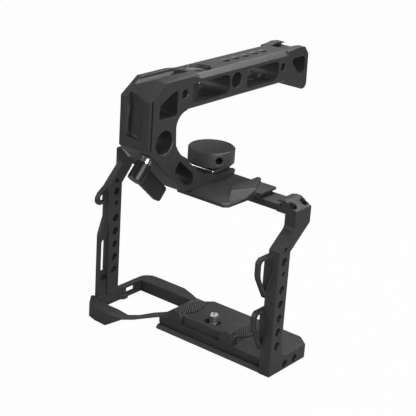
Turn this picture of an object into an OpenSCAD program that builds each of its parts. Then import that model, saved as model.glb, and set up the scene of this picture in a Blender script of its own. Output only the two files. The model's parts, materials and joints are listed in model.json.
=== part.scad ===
// Camera cage with a top handle that slides and clamps on its roof. Lengths in millimetres.
// X runs to the right, Y to the back and Z up. The origin is on the camera screw's axis,
// at the top face of the base plate, where the camera's underside rests.

/* [Cage] */
// Width over the two side columns
cage_w = 151; // [146:0.5:160]
// Clear height from the camera seat to the underside of the top bar
bay_h = 99.3; // [98:0.1:110]
// Camera screw axis to the outside of the right column
screw_in = 64.7; // [60:0.1:68]
// Camera screw axis to the front flange of the base plate
screw_back = 22; // [20:0.5:25]

/* [Base plate] */
// Thickness of the base plate
plate_t = 9; // [8.5:0.5:12]
// Depth from the front flange to the rear edge
plate_d = 48.6; // [46:0.2:56]
// Length from the left end to the outside of the right column
plate_l = 98; // [95:0.5:102]
// Step from the dovetail flange back to the wall above it
flange_step = 3; // [2.5:0.1:3.6]
// Depth of the side foot that carries the right column
foot_d = 40.8; // [38:0.2:44]
// Height of the raised stop in front of the camera
stop_h = 6.3; // [4:0.1:8]
// Height of the two tabs at the ends of the stop
tab_h = 8.7; // [8.5:0.1:10]
// Length of each tab along the stop
tab_l = 11.5; // [9:0.5:14]
// Length of the stop over its two tabs
stop_l = 56; // [50:0.5:60]

/* [Battery ring] */
// Wall of the ring beside the left column
ring_wall = 5; // [4:0.1:5.5]
// Depth of the ring's opening
ring_open_d = 49.8; // [46:0.2:52]
// Width of the ring's rear bar
ring_bar = 12.2; // [9:0.2:14]
// Rear edge of the ring's front bar, in front of the right column's corner
ring_front = 12; // [11:0.5:13]
// Depth of the ring's front bar under the left column
ear_d = 10.8; // [10:0.2:12]
// Thickness of the thin bridge from the front bar to the base plate
bridge_h = 1.6; // [1.5:0.1:2.5]

/* [Right column] */
// Thickness of the right column
right_t = 8.5; // [7:0.1:10]
// Depth of the right column
right_d = 12; // [10.5:0.1:13]
// Height of its lowest accessory hole above the plate's bottom
right_hole_z = 20.6; // [19:0.1:22]
// Height of the leaning arm below the top bar
arm_h = 22.5; // [21:0.1:24]

/* [Left column] */
// Thickness of the left column
left_t = 5.5; // [5:0.1:7]
// Depth of the left column above the grip cut
left_d = 13.5; // [12.5:0.1:15]
// Height of its lowest accessory hole above the plate's bottom
left_hole_z = 26.5; // [25:0.1:28]
// Thickness of the web in front of the left column
web_t = 3; // [2.5:0.1:4]
// Reach of the web in front of the column's own face
web_reach = 4.9; // [4.8:0.1:6]

/* [Accessory holes] */
// Wall radius of a quarter-inch threaded hole
quarter_r = 2.6; // [2.5:0.05:2.7]
// Spacing of the accessory holes
hole_pitch = 10; // [9.6:0.1:10.2]
// Radius of a locating-pin hole
pin_hole_r = 1.55; // [1.4:0.05:1.8]
// Locating-pin hole to the threaded hole between the pair
pin_pitch = 8.3; // [8:0.1:8.6]

/* [Top] */
// Thickness of the top bar
bar_t = 4.7; // [4.5:0.1:6]
// Depth of the top bar
bar_d = 16; // [15:0.2:17]
// Thickness of the handle's seat plate above the top bar
seat_t = 3.5; // [3:0.1:4.5]
// Width of the shoe channel between its inner walls
shoe_w = 18.6; // [18.6:0.1:19]
// Width of the shoe channel between its lips
shoe_mouth = 12.6; // [12:0.1:13]
// Thickness of a shoe lip
lip_t = 1.7; // [1.5:0.1:1.9]

/* [Handle] */
// Width of the handle
handle_w = 24; // [23:0.5:26]
// Foot line to the front face of the neck
neck_reach = 79.8; // [77:0.2:83]
// Foot line to the rear end of the tail
grip_reach = 84.4; // [82:0.2:92]
// Height of the grip's underside above the seat
grip_z = 54.5; // [53:0.5:60]
// Thickness of the grip
grip_t = 21; // [20:0.1:22]
// Thickness of the foot that is clamped on the seat
foot_t = 4.5; // [4:0.1:5.5]
// Radius of the rod bore through the neck
rod_r = 7.5; // [7:0.05:7.6]
// Radius of the three-eighths threaded hole in the top
three_eighths_r = 4; // [3.9:0.05:4.2]
// Travel of the loosened handle along its slot
handle_travel = 7.5; // [6:0.5:7.5]

/* [Knobs and screws] */
// Radius of the disc knob
knob_r = 15.6; // [13:0.1:16]
// Thickness of the disc knob
knob_t = 10.5; // [9:0.1:12]
// Radius of the quarter-inch screws
screw_r = 3.175; // [3.1:0.005:3.2]
// Length of the camera screw above the seat
camera_screw_h = 6.5; // [5:0.1:8]
// Radius of the lock lever's hub
lever_hub_r = 5; // [4.5:0.1:5.5]
// Reach of the lock lever from its axis
lever_reach = 29; // [26:0.5:31]
// Height of the lock lever along its axis
lever_h = 12; // [11:0.1:13]
// Thickness of the lock lever's blade
lever_t = 5; // [4:0.1:6]

/* [Rubber pads] */
// Length of each pad from front to back
pad_l = 27.4; // [24:0.2:29]
// Width of each pad
pad_w = 14; // [12:0.5:15]
// Distance of each pad from the camera screw along X
pad_off = 24.9; // [23:0.1:26]
// Number of grooves across each pad
pad_grooves = 11; // [7:1:13]

/* [Hidden] */
$fn = 64;
over = 0.5;             // overrun of every cut
arc_steps = 6;          // facets of a rounded outline corner
edge = 0.8;             // small edge chamfer
thread_fit = 0.05;      // radial clearance of a screw in the part's own thread
slide_fit = 0.25;       // clearance of a piece that slides
black = "#2c2d2f";
deep_black = "#1b1c1e";
chrome = "#c9ccd0";

// Places counted from the bottom front corner of the right column's outer side
wall_y = flange_step;
proud = 0.5;                                  // columns stand this far in front of the flange
bar_z = plate_t + bay_h;
bar_top = bar_z + bar_t;
seat_z = bar_top + seat_t;
bar_y = 15;                                   // front edge of the top bar
rear_corner_x = 9.7;
rear_corner_y = 7.8;
rear_notch = 5;

// Right column and its arm
lean_z = bar_z - arm_h;
right_rear = right_d - proud;
gusset = 5.8;
lean_h = 15.2;
lean_back = 19.2;
arm_d = 16.8;
arm_rear = right_rear + lean_back;
arm_front = arm_rear - arm_d;
front_lean_z = lean_z + 2.8;
block_side_h = 3.7;                           // side face of the block above the bar's underside
block_flat = 3.4;
block_slope = 8.6;
lip_z = bar_top + 4;                          // top of both shoe lips
shoe_wall = block_slope + block_flat;
shoe_left = shoe_wall + shoe_w;
mouth_left = 28;                              // left lip's edge
block_reach = mouth_left - shoe_mouth;

// Left column
left_rear = 12;
left_hole_y = 5;                              // holes to the rear edge
left_front = left_rear - left_d;
left_x = -cage_w;
left_arm_h = 16.6;
hairline = 0.1;
web_slot_drop = 17.4;
left_lean_z = bar_z - left_arm_h;
lug_h = 12.4;
lug_gap = 10.2;                               // between the web and the strap lug
lug_z = left_lean_z - lug_h - hairline;
web_top = lug_z - lug_gap;
web_front = left_front - web_reach;
web_slot_low = 27;
web_slot_high = web_top - web_slot_drop;
web_bar = 2.2;
left_lean_h = 10.6;
left_lean_back = 9.6;
left_arm_d = 10.8;
left_arm_rear = left_rear + left_lean_back;
left_arm_front = left_arm_rear - left_arm_d;
left_block_w = 11;

// Ring
ring_in_x = left_x + ring_wall;
ring_low_y = -ring_front;
ring_high_y = ring_low_y + ring_open_d;
ring_rear = ring_high_y + ring_bar;
ear_front = ring_low_y - ear_d;
plate_left = -plate_l;

// Handle, measured from its foot line on the seat, a little behind the clamp screw
handle_shift = 1.3;
handle_x = -cage_w / 2 + handle_shift;
handle_y = 21.3;
clamp_shift = 2.3;
neck_front = -neck_reach;
grip_top = grip_z + grip_t;
half_w = handle_w / 2;

// Camera seat at the origin
module at_corner() translate([screw_in, -screw_back, -plate_t]) children();
module at_handle() at_corner() translate([handle_x, handle_y, seat_z]) children();
module at_clamp() at_handle() translate([0, -clamp_shift, 0]) children();

// Unit vector from a to b, and a corner of an outline rounded to the radius in its third value
function unit(v) = v / norm(v);
function flat(p) = [p[0], p[1]];
function corner(a, b, c, r) =
    let (u = unit(flat(a) - flat(b)), v = unit(flat(c) - flat(b)),
         half = acos(max(-1, min(1, u * v))) / 2,
         mid = flat(b) + unit(u + v) * r / sin(half),
         s = flat(b) + u * r / tan(half) - mid, e = flat(b) + v * r / tan(half) - mid,
         from = atan2(s[1], s[0]), turn = atan2(s[0] * e[1] - s[1] * e[0], s * e))
    [for (i = [0:arc_steps]) mid + r * [cos(from + turn * i / arc_steps),
        sin(from + turn * i / arc_steps)]];
function rounded(pts) =
    [for (i = [0:len(pts) - 1])
        let (p = pts[i], a = pts[(i + len(pts) - 1) % len(pts)], c = pts[(i + 1) % len(pts)])
        each (len(p) > 2 && p[2] > 0 ? corner(a, p, c, p[2]) : [flat(p)])];
function scaled(shares, size, origin) =
    [for (p = shares) [origin[0] + p[0] * size[0], origin[1] + p[1] * size[1],
        (len(p) > 2 ? p[2] : 0) * size[0]]];

// An outline in Y and Z, drawn out along X from x
module side_plate(x, t, pts)
    translate([x, 0, 0]) rotate([90, 0, 90]) linear_extrude(t) polygon(rounded(pts));
// An outline in X and Z, drawn out along Y from y
module front_plate(y, t, pts)
    translate([0, y + t, 0]) rotate([90, 0, 0]) linear_extrude(t) polygon(rounded(pts));
// An outline in X and Y, drawn out along Z from z
module plan_plate(z, t, pts) translate([0, 0, z]) linear_extrude(t) polygon(rounded(pts));
// A through hole along Z with chamfered rims
module drill(l, r, rim) {
    translate([0, 0, -over]) cylinder(r = r, h = l + 2 * over);
    translate([0, 0, -over]) cylinder(r1 = r + rim + over, r2 = r, h = rim + over);
    translate([0, 0, l - rim]) cylinder(r1 = r, r2 = r + rim + over, h = rim + over);
}
// A blind hole sunk from the face at height 0
module blind(l, r, rim) {
    translate([0, 0, -l]) cylinder(r = r, h = l + over);
    translate([0, 0, -rim]) cylinder(r1 = r, r2 = r + rim + over, h = rim + over);
}
module drill_x(x, y, z, l, r, rim) translate([x, y, z]) rotate([0, 90, 0]) drill(l, r, rim);

// The row of accessory holes from height z, and the pinned hole below the start of the arm at height top
hole_rim = 0.55;
upper_drop = 5.475;
row_end = pin_pitch + 2 * hole_pitch / 3;     // room kept between the row's last hole and the pinned hole
module column_holes(x, y, z, top, l) {
    for (i = [0:floor((top - upper_drop - row_end - z) / hole_pitch)])
        drill_x(x, y, z + i * hole_pitch, l, quarter_r, hole_rim);
    drill_x(x, y, top - upper_drop, l, quarter_r, hole_rim);
}
module pin_hole(x, y, z, l) drill_x(x, y, z - upper_drop, l, pin_hole_r, hole_rim / 2);

// Base plate
slot_r = 4.75;
slot_shift = 2.4;
head_r = 6.5;
head_t = 2.4;
shelf_t = 3;
recess_r = 8.3;
pad_sink = 0.8;
flange_edge = 1;
flange_slope = 2;
neck_groove = 0.8;
side_hole_z = 3.6;
side_hole_y = 17.1;
side_hole_pitch = 11.2;
top_edge = 1.5;
module pad_outline(grow) {
    half_l = pad_l / 2 + grow;
    half_d = pad_w / 2 + grow;
    big = (half_l * half_l + half_d * half_d) / (2 * half_d);
    intersection() {
        translate([big - half_d, 0]) circle(r = big);
        translate([half_d - big, 0]) circle(r = big);
    }
}
pad_y = 28.7;
pad_end = 8;                                // left pad's centre to the plate's left end
module pad_place(side)
    translate([side > 0 ? pad_off : screw_in + plate_left + pad_end, pad_y - screw_back, 0]) children();
// Outline of a pad in place, kept between the plate's left end and, on the left, the screw's slot
pad_room = plate_l - screw_in - slot_shift - slot_r - 2 * edge;
module pad_area(side, grow) intersection() {
    pad_place(side) pad_outline(grow);
    translate([screw_in + plate_left + edge - grow, -plate_d])
        square([side > 0 ? plate_l : pad_room + 2 * grow, 2 * plate_d]);
}
module base_plate() color(black) difference() {
    union() {
        at_corner() intersection() {
            side_plate(plate_left, plate_l, [
                [0, 0], [0, flange_edge], [flange_slope, flange_edge + flange_slope],
                [wall_y + neck_groove, flange_edge + flange_slope],
                [wall_y + neck_groove, flange_edge + flange_slope + neck_groove],
                [wall_y, flange_edge + flange_slope + neck_groove], [wall_y, plate_t],
                [plate_d, plate_t], [plate_d, 0]]);
            plan_plate(-over, plate_t + 2 * over, [
                [0, 0], [0, plate_d - rear_corner_y, rear_corner_x / 2],
                    [-rear_corner_x, plate_d, rear_corner_x / 2],
                [plate_left + rear_corner_x + flange_step, plate_d],
                    [plate_left + rear_corner_y, plate_d - rear_notch],
                [plate_left, plate_d - rear_notch], [plate_left, 0]]);
        }
        at_corner() side_plate(-right_t, right_t, [
            [-proud, 0], [-proud, plate_t], [foot_d - top_edge, plate_t], [foot_d - top_edge, 0]]);
    }
    // Bevel along the top edge of the foot
    at_corner() front_plate(right_rear + gusset + top_edge, foot_d, [
        [over, plate_t - top_edge - over], [over, plate_t + over], [-top_edge - over, plate_t + over]]);
    for (i = [0:1]) at_corner() drill_x(-right_t, side_hole_y + i * side_hole_pitch, side_hole_z,
                                        right_t, quarter_r, hole_rim);
    // Slot for the camera screw, with the recess for its head below
    translate([0, 0, -plate_t - over]) linear_extrude(plate_t + 2 * over)
        union() {
            circle(r = slot_r);
            translate([-slot_shift, 0]) circle(r = slot_r);
            translate([-slot_shift, -slot_r]) square([slot_shift, 2 * slot_r]);
        }
    translate([0, 0, -plate_t - over]) cylinder(r = recess_r, h = plate_t - shelf_t + over);
    for (side = [-1, 1]) translate([0, 0, -pad_sink]) linear_extrude(pad_sink + over) pad_area(side, 0);
}

// Raised stop along the front of the seat
stop_t = 3.5;
stop_shift = 24.8;                            // camera screw to the left end of the stop
stop_x = -screw_in - stop_shift;
tab_front = 0.5;
stop_back_off = 1.5;
tab_corner = 4;
module front_stop() color(black) at_corner() union() {
    front_plate(wall_y + stop_back_off, stop_t, [
        [stop_x, plate_t], [stop_x + stop_l, plate_t], [stop_x + stop_l, plate_t + stop_h],
        [stop_x, plate_t + stop_h]]);
    for (x = [stop_x, stop_x + stop_l - tab_l])
        front_plate(wall_y - tab_front, stop_t + stop_back_off + tab_front, [
            [x, plate_t], [x + tab_l, plate_t], [x + tab_l, plate_t + tab_h - tab_corner],
            [x + tab_l - tab_corner * 0.6, plate_t + tab_h],
                [x + tab_corner, plate_t + tab_h, tab_corner / 2],
            [x, plate_t + tab_h - tab_corner, tab_corner / 2]]);
}

// Battery ring beside the base plate
ring_bump = 1.8;
ring_bump_h = 3.2;
wall_slot_y = 21.7;
wall_slot_l = 12.3;
wall_slot_z = 2.6;
wall_slot_h = 4.7;
slot_flare = 1.8;                             // bevel of the slot's lower edge on the outer side
module ring_side_wall() color(black) at_corner() difference() {
    union() {
        plan_plate(0, plate_t, [
            [left_x, ear_rear], [ring_in_x, ear_rear], [ring_in_x, ring_high_y], [left_x, ring_high_y]]);
        plan_plate(0, ring_bump_h, [
            [ring_in_x, wall_slot_y - wall_slot_l / 2],
                [ring_in_x + ring_bump, wall_slot_y - wall_slot_l / 2 + ring_bump],
            [ring_in_x + ring_bump, wall_slot_y], [ring_in_x, wall_slot_y + ring_bump]]);
    }
    front_plate(wall_slot_y, wall_slot_l, [
        [ring_in_x + ring_bump + over, wall_slot_z],
            [ring_in_x + ring_bump + over, wall_slot_z + wall_slot_h],
        [left_x - over, wall_slot_z + wall_slot_h], [left_x - over, wall_slot_z - slot_flare - over],
        [left_x + slot_flare, wall_slot_z]]);
}
rear_step_x = 13.6;
rear_corner_r = 9;
module ring_rear_bar() color(black) at_corner() plan_plate(0, plate_t, [
    [left_x, ring_high_y], [left_x, ring_rear, rear_corner_r],
        [plate_left - 1.2 * rear_step_x, ring_rear, rear_corner_r / 2],
    [plate_left - rear_step_x / 2, plate_d - flange_slope], [plate_left, plate_d - rear_notch],
        [plate_left, ring_high_y]]);
ring_w = cage_w - plate_l;
ear_share = 0.538;
ear_end_share = 0.708;
ear_l = ring_w * ear_share;
ear_flat = ear_l / 3.8;
ear_t = 10;
ear_round = 3;
ear_end_x = left_x + ring_w * ear_end_share;
ear_rear = ring_low_y + ear_round + edge;
module ring_front_bar() color(black) at_corner() intersection() {
    plan_plate(0, ear_t, [
        [left_x, ear_rear], [left_x, ring_low_y + 2 * edge],
            [left_x + ear_flat, ear_front + ear_round, ear_round],
        [left_x + 2 * ear_flat, ear_front + edge, ear_round], [left_x + ear_l, ear_front, ear_round],
        [ear_end_x, ear_front + ear_round], [ear_end_x, ring_low_y],
        [ring_in_x, ring_low_y, ear_round], [ring_in_x, ear_rear]]);
    front_plate(ear_front - over, ear_d + 2 * ear_round, [
        [left_x, 0], [left_x + ear_l - ear_round, 0, edge], [ear_end_x, plate_t - bridge_h],
            [ear_end_x, plate_t],
        [left_x + ear_l, ear_t], [left_x, ear_t]]);
}
bridge_d = 15.5;
bridge_share = [[0, -0.48], [0.39, -0.06, 0.2], [0.9, 0.81, 0.1], [1, 0.96], [1, 1.5],
    [0.66, 1.03, 0.2], [0.36, 0.36, 0.3], [0, 0]];
module ring_bridge() color(black) at_corner() plan_plate(plate_t - bridge_h, bridge_h,
    scaled(bridge_share, [ring_w * (1 - ear_end_share), bridge_d], [ear_end_x, ring_low_y]));

// Left column, the thin web in front of it and the arm above
module left_column() color(black) at_corner() difference() {
    side_plate(left_x, left_t, [
        [left_front + flange_slope, plate_t], [left_rear, plate_t], [left_rear, left_lean_z],
            [left_front, left_lean_z],
        [left_front, web_top], [left_front + flange_slope, web_top - rear_corner_r]]);
    column_holes(left_x, left_rear - left_hole_y, left_hole_z, left_lean_z, left_t);
    pin_hole(left_x, left_rear - left_hole_y, left_lean_z - pin_pitch, left_t);
}
module left_grip_web() color(black) at_corner() difference() {
    side_plate(left_x, web_t, [
        [web_front, plate_t], [left_front + flange_slope, plate_t],
        [left_front + flange_slope, web_top - rear_corner_r], [left_front, web_top],
        [web_front, web_top - left_d + edge, left_d]]);
    side_plate(left_x - over, web_t + 2 * over, [
        [web_front + web_bar, web_slot_low, web_bar], [left_front + flange_slope, web_slot_low],
        [left_front + flange_slope, web_slot_high], [web_front + web_bar, web_slot_high, web_bar]]);
}
module left_arm() color(black) at_corner() difference() {
    side_plate(left_x, left_t, [
        [left_front, left_lean_z], [left_rear, left_lean_z], [left_arm_rear, left_lean_z + left_lean_h],
        [left_arm_rear, bar_z], [left_arm_front, bar_z],
            [left_arm_front, left_lean_z + left_lean_h + flange_slope]]);
    pin_hole(left_x, left_rear - left_hole_y, left_lean_z + pin_pitch, left_t);
}
module left_top_block() color(black) at_corner() front_plate(left_arm_front, left_arm_d, [
    [left_x, bar_z], [left_x, lip_z - edge], [left_x + edge, lip_z], [left_x + left_block_w / 2, lip_z],
    [left_x + left_block_w, bar_top], [left_x + left_block_w, bar_z]]);

// Strap lug in front of the left column
lug_t = 3.3;
lug_reach = 8.2;
lug_bar = 2.6;
lug_share = [[0, 0], [-0.8, 0, 0.1], [-1, 0.18, 0.1], [-1, 0.42, 0.1], [-0.75, 0.68, 0.2], [0, 1]];
module strap_lug() color(black) at_corner() difference() {
    side_plate(left_x, lug_t, scaled(lug_share, [lug_reach, lug_h], [left_front, lug_z]));
    side_plate(left_x - over, lug_t + 2 * over, [
        [left_front - edge, lug_z + lug_bar * 0.8],
            [left_front - lug_reach + lug_bar, lug_z + lug_bar * 0.8, edge],
        [left_front - lug_reach + lug_bar, lug_z + lug_h / 2, edge],
            [left_front - edge, lug_z + lug_h - lug_bar, edge / 2]]);
}

// Right column and the arm above
module right_column() color(black) at_corner() difference() {
    side_plate(-right_t, right_t, [
        [-proud, plate_t], [right_rear + gusset, plate_t], [right_rear, plate_t + gusset],
        [right_rear, lean_z], [-proud, lean_z]]);
    column_holes(-right_t, right_d / 2, right_hole_z, lean_z, right_t);
    pin_hole(-right_t, right_d / 2, lean_z - pin_pitch, right_t);
}
module right_arm() color(black) at_corner() difference() {
    side_plate(-right_t, right_t, [
        [-proud, lean_z], [right_rear, lean_z], [arm_rear, lean_z + lean_h], [arm_rear, bar_z],
        [arm_front, bar_z], [arm_front, front_lean_z + lean_h * 0.75, right_t / 2],
            [-proud, front_lean_z, edge]]);
    pin_hole(-right_t, right_d / 2, lean_z + pin_pitch, right_t);
}

// Top block of the right side: the shoe's right lip and two threaded holes in its slope
block_hole_pitch = 11.3;
block_hole_l = 5;
slope_rise = lip_z - bar_z - block_side_h;
slope_tilt = atan2(slope_rise, block_slope);
module right_top_block() color(black) at_corner() difference() {
    front_plate(arm_front, arm_d, [
        [0, bar_z], [0, bar_z + block_side_h], [-block_slope, lip_z], [-shoe_wall, lip_z],
            [-block_reach, lip_z - edge],
        [-block_reach, lip_z - lip_t], [-shoe_wall, lip_z - lip_t],
        [-shoe_wall, bar_top], [-block_reach, bar_top], [-block_reach, bar_z]]);
    for (s = [-1, 1])
        translate([-block_slope / 2, arm_front + arm_d / 2 + s * block_hole_pitch / 2,
            bar_z + block_side_h + slope_rise / 2])
            rotate([0, slope_tilt, 0]) blind(block_hole_l, quarter_r, hole_rim);
}

// Cable loops on the inner side of the right column
loop_t = 3.2;
loop_reach = 9.8;
column_h = lean_z - plate_t;
loop_h_share = 0.385;
lower_loop_share = 0.104;
upper_loop_share = 0.586;
loop_h = column_h * loop_h_share;
upper_share = [[0.4, 0], [0, 0], [-0.9, 0.52, 0.3], [-1, 0.63, 0.3], [-1, 0.92, 0.2], [-0.72, 1, 0.2],
    [0.4, 1]];
upper_hole_share = [[0, 0.12], [-0.64, 0.52, 0.2], [-0.71, 0.63, 0.2], [-0.71, 0.87, 0.15],
    [-0.55, 0.92, 0.15], [0, 0.92]];
lower_share = [[0.4, 0], [0, 0], [-0.75, 0.47, 0.3], [-1, 0.57, 0.3], [-1, 0.9, 0.2], [-0.75, 1, 0.2],
    [0.4, 1]];
lower_hole_share = [[0, 0.12], [-0.56, 0.48, 0.2], [-0.71, 0.6, 0.2], [-0.71, 0.85, 0.15],
    [-0.55, 0.91, 0.15], [0, 0.91]];
module cable_loop(z, h, shares, hole_shares) difference() {
    side_plate(-right_t - loop_t, loop_t, scaled(shares, [loop_reach, h], [0, z]));
    side_plate(-right_t - loop_t - over, loop_t + 2 * over, scaled(hole_shares, [loop_reach, h], [0, z]));
}
module upper_cable_loop() color(black) at_corner() cable_loop(plate_t + column_h * upper_loop_share,
    loop_h, upper_share, upper_hole_share);
module lower_cable_loop() color(black) at_corner() cable_loop(plate_t + column_h * lower_loop_share,
    loop_h, lower_share, lower_hole_share);

// Top bar: it carries the handle's seat, and its right end is the floor of the shoe
module top_bar() color(black) at_corner() difference() {
    plan_plate(bar_z, bar_t, [
        [-block_reach, bar_y], [-block_reach, bar_y + bar_d], [handle_x - half_w - edge, bar_y + bar_d],
        [left_x + left_block_w, left_arm_rear], [left_x + left_block_w, left_arm_front],
        [handle_x - half_w - edge, bar_y]]);
    clamp_thread();
}
module clamp_thread() translate([handle_x, handle_y - clamp_shift, bar_z - over])
    cylinder(r = screw_r + thread_fit, h = bar_t + seat_t + 2 * over);

// Seat: a thin rim slab with the raised deck that the handle slides on
seat_front = -17;
seat_right = -32;
seat_left = -92;
seat_cut = 20;
front_bevel = 1.5;
seat_corner = 2.8;
rim_t = 2;
rim_w = 3.6;
rail_back = bar_y + bar_d;
diagonal_y = bar_y - flange_slope;
diagonal_x = -41;
rail_end_x = -36.9;
rail_end_y = -7.5;
rail_mid_y = 5.5;
rail_x = -44;
rail_y = 3.5;
module handle_seat() color(black) at_corner() difference() {
    union() {
        plan_plate(bar_top, rim_t, [
            [seat_left, rail_back], [seat_left, handle_y - bar_d], [seat_left + seat_cut, seat_front],
            [seat_right - seat_corner, seat_front, edge], [seat_right, seat_front + seat_corner, edge],
            [seat_right, diagonal_y], [diagonal_x, rail_back]]);
        plan_plate(bar_top + rim_t, seat_t - rim_t, [
            [seat_left, rail_back], [seat_left, handle_y - bar_d], [seat_left + seat_cut, seat_front],
            [seat_right - rim_w - edge, seat_front, edge],
                [seat_right - rim_w + edge, rail_end_y - seat_corner, edge],
            [rail_end_x, rail_end_y], [rail_x, rail_y], [rail_x, rail_back]]);
    }
    // Bevel along the front edge
    side_plate(seat_left, -seat_left, [
        [seat_front - over, seat_z - front_bevel], [seat_front + 3 * front_bevel, seat_z],
        [seat_front + 3 * front_bevel, seat_z + over], [seat_front - over, seat_z + over]]);
    clamp_thread();
}

// Raised rail beside the deck: its long flank leans back to a flat crest
rail_h = 5;
rail_flank = 4.9;
rail_turn = atan2(seat_right + edge - rail_end_x, rail_mid_y - rail_end_y);
rail_l = 2 * bar_y;
module seat_rail() color(black) at_corner() intersection() {
    plan_plate(bar_top + rim_t, rail_h, [
        [rail_end_x, rail_end_y], [seat_right, rail_mid_y - rim_t], [seat_right, diagonal_y],
        [diagonal_x, rail_back, edge], [rail_x, rail_back, edge], [rail_x, rail_y, edge]]);
    translate([rail_end_x, rail_end_y, 0]) rotate([0, 0, -rail_turn]) front_plate(-rail_l, 3 * rail_l, [
        [0, bar_top + rim_t], [-rail_flank, bar_top + rim_t + rail_h - edge],
            [-rail_l, bar_top + rim_t + rail_h],
        [-rail_l, bar_top + rim_t]]);
}

// Left lip of the shoe: a flat plate on a narrower stem
lip_corner = 1.2;
module shoe_lip() color(black) at_corner() union() {
    plan_plate(lip_z - lip_t, lip_t, [
        [-mouth_left, diagonal_y, lip_corner], [-mouth_left, rail_back, lip_corner],
            [diagonal_x, rail_back],
        [seat_right, diagonal_y]]);
    plan_plate(bar_top, lip_z - lip_t - bar_top, [
        [seat_right, diagonal_y], [-shoe_left, diagonal_y], [-shoe_left, rail_back - edge],
            [diagonal_x + edge, rail_back - edge]]);
}

// Small screw on the inner face of the web
small_r = 2.1;
small_t = 0.8;
web_slot_shift = 0.8;
module small_screw() difference() {
    cylinder(r = small_r, h = small_t);
    translate([0, 0, small_t / 2]) cylinder(r = small_r / 2, h = small_t, $fn = 6);
}
module web_screw() color(deep_black) at_corner()
    translate([left_x + web_t, left_front + edge / 2 - web_slot_shift,
        web_slot_low - 2 * small_r]) rotate([0, 90, 0]) small_screw();

// Rubber pads let into the seat
pad_t = 1.5;
groove_w = 0.7;
groove_h = 0.6;
groove_turn = 35;
groove_share = 1.3;                           // spread of the grooves over the pad's width
module pad(side) difference() {
    translate([0, 0, -pad_sink]) linear_extrude(pad_t) pad_area(side, -thread_fit);
    for (i = [0:pad_grooves - 1]) pad_place(side) rotate([0, 0, groove_turn])
        translate([(i - (pad_grooves - 1) / 2) * groove_pitch - groove_w / 2, -pad_l,
            pad_t - pad_sink - groove_h])
            cube([groove_w, 2 * pad_l, groove_h + over]);
}
groove_pitch = groove_share * pad_w / (pad_grooves + 1);
module left_pad() color(deep_black) pad(-1);
module right_pad() color(deep_black) pad(1);

// Camera screw, with a thin shank that its washer holds under the plate
washer_t = 0.8;
shank_r = 2.4;
screw_slot_w = 1;
screw_slot_h = 1.5;
screw_tip = 0.7;
slot_turn = 38;
module camera_screw_washer() color(chrome) translate([0, 0, -shelf_t - washer_t]) difference() {
    cylinder(r = head_r + edge, h = washer_t);
    translate([0, 0, -over]) cylinder(r = shank_r + thread_fit, h = washer_t + 2 * over);
}
module camera_screw() color(chrome) difference() {
    union() {
        translate([0, 0, -shelf_t - washer_t]) cylinder(r = shank_r, h = shelf_t + washer_t);
        cylinder(r = screw_r, h = camera_screw_h - screw_tip);
        translate([0, 0, camera_screw_h - screw_tip]) cylinder(r1 = screw_r, r2 = screw_r - screw_tip,
            h = screw_tip);
        translate([0, 0, -shelf_t - washer_t - head_t]) cylinder(r = head_r, h = head_t);
    }
    rotate([0, 0, slot_turn]) translate([-screw_slot_w / 2, -screw_r - over,
        camera_screw_h - screw_slot_h])
        cube([screw_slot_w, 2 * (screw_r + over), screw_slot_h + over]);
    translate([-screw_slot_w, -head_r - over, -shelf_t - washer_t - head_t - over])
        cube([2 * screw_slot_w, 2 * (head_r + over), screw_slot_h + over]);
}

// Handle foot with its clamping slot
slope_end = -42.8;
foot_back = 9.2;
plate_half = 9.5;
plate_h = 4.2;
recess_floor = 2.5;
tip_r = 2;
neck_foot = -12;
module foot_slot() translate([0, 0, -over]) linear_extrude(foot_t * 3) union() {
    translate([0, -handle_travel]) circle(r = screw_r + slide_fit);
    circle(r = screw_r + slide_fit);
    translate([-screw_r - slide_fit, -handle_travel]) square([2 * (screw_r + slide_fit), handle_travel]);
}
module foot_recess()
    translate([-plate_half - slide_fit, -handle_travel - plate_half - slide_fit, recess_floor])
        cube([2 * (plate_half + slide_fit),
            handle_travel + 2 * (plate_half + slide_fit) + foot_t, knob_r]);
module handle_foot() color(black) difference() {
    at_handle() side_plate(-half_w, handle_w, [
        [neck_foot, 0], [foot_back, 0, tip_r], [foot_back, foot_t, tip_r], [neck_foot, foot_t]]);
    at_clamp() foot_slot();
    at_clamp() foot_recess();
}

// Channel along the top, from the front chamfer to the screw recess
module top_channel() front_plate(neck_front - over, channel_back - neck_front + over, [
    [-half_w + channel_l, grip_top + over], [-half_w + channel_l, grip_top - pocket_d],
    [-half_w + channel_l + channel_w, grip_top], [-half_w + channel_l + channel_w, grip_top + over]]);

// Handle neck: the slope, the rod bore and the front pocket
slope_top = 34.3;
neck_d = 25.5;
neck_fillet = 10;
inner_share = [[0.15, 0.083], [0.2, 0.112], [0.3, 0.135], [0.35, 0.182], [0.41, 0.257], [0.486, 0.345],
    [0.534, 0.422], [0.6, 0.478], [0.64, 0.541], [0.672, 0.62]];
front_chamfer_y = 14;
front_chamfer_z = 9.7;
rod_y = -64.8;
rod_z = 37.5;
rod_rim = 0.7;
pocket_l = 4.5;
pocket_r = 5.8;
pocket_d = 4;
pocket_low = 40.5;
pocket_round = 2.5;
channel_l = 3.7;
channel_w = 11;
channel_back = -34.6;
groove_y = 1.6;
groove_deep = 1.2;
window_share = [[-0.72, 1.262, 0.03], [-0.885, 1.14, 0.03], [-0.89, 1.0, 0.02], [-0.87, 0.968, 0.02],
    [-0.7, 0.968, 0.02], [-0.66, 1.03, 0.03], [-0.675, 1.25, 0.02]];
drop_share = [[-0.618, 0.415, 0.02], [-0.668, 0.325, 0.04], [-0.65, 0.25, 0.02], [-0.535, 0.088, 0.03],
    [-0.466, 0.066, 0.03], [-0.43, 0.12, 0.03], [-0.452, 0.21, 0.03]];
lever_tilt = 43;
lever_x = 6;
boss_h = 1.2;
boss_r = 5;
module at_lever() at_handle() translate([lever_x, rod_y, rod_z]) rotate([180 - lever_tilt, 0, 0])
    translate([0, 0, lever_face]) children();
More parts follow.
